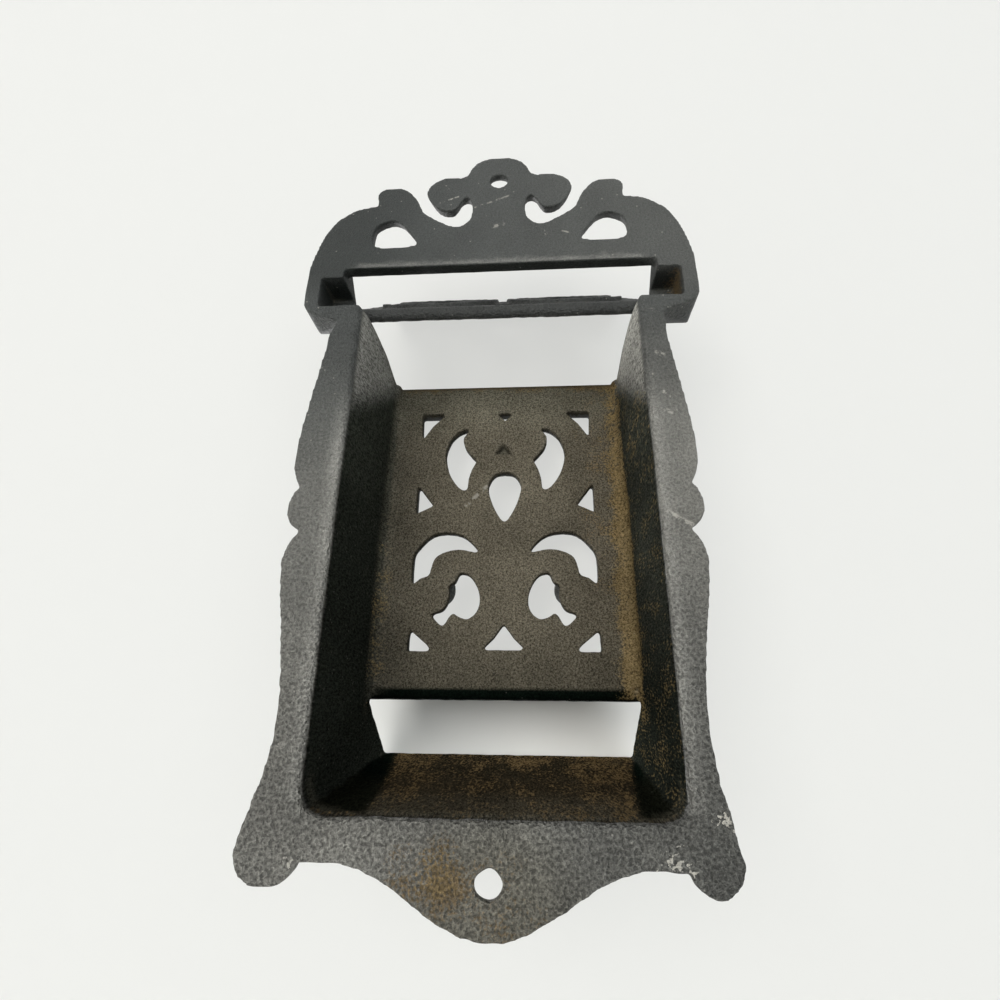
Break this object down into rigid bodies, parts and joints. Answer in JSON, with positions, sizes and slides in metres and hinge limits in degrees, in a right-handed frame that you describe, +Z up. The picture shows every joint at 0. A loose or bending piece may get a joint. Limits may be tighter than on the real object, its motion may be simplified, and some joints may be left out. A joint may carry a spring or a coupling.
{
  "type": "wall match holder",
  "caption": "Cast iron wall match holder: open-backed box with pierced crest and panel, sloping dispensing tray and a pierced lid hinged on cast pins.",
  "frame": {"origin": "midway between the two screw holes, on the wall plane", "axes": "+Z up as hung, +Y away from the wall towards the front, +X to the right as seen from the wall side"},
  "size_m": [0.0942, 0.0585, 0.1713],
  "materials": {
    "black_iron": "aged black paint over sand-cast grain",
    "brown_iron": "black paint worn to a brown bloom",
    "lid_iron": "black paint, dusty olive on the ridges"
  },
  "bodies": {
    "holder": {"back_frame": "black_iron", "crest": "black_iron", "left_hinge_boss": "black_iron", "right_hinge_boss": "black_iron", "left_cheek": "black_iron", "right_cheek": "black_iron", "front_grille": "brown_iron", "match_tray": "brown_iron"},
    "lid": {"lid": "lid_iron"}
  },
  "joints": [
    {"name": "lid_hinge", "type": "hinge", "parent": "holder", "child": "lid", "pos_m": [0, 0.00655, 0.04085], "axis": [1, 0, 0], "range_deg": [-42, 48]}
  ]
}
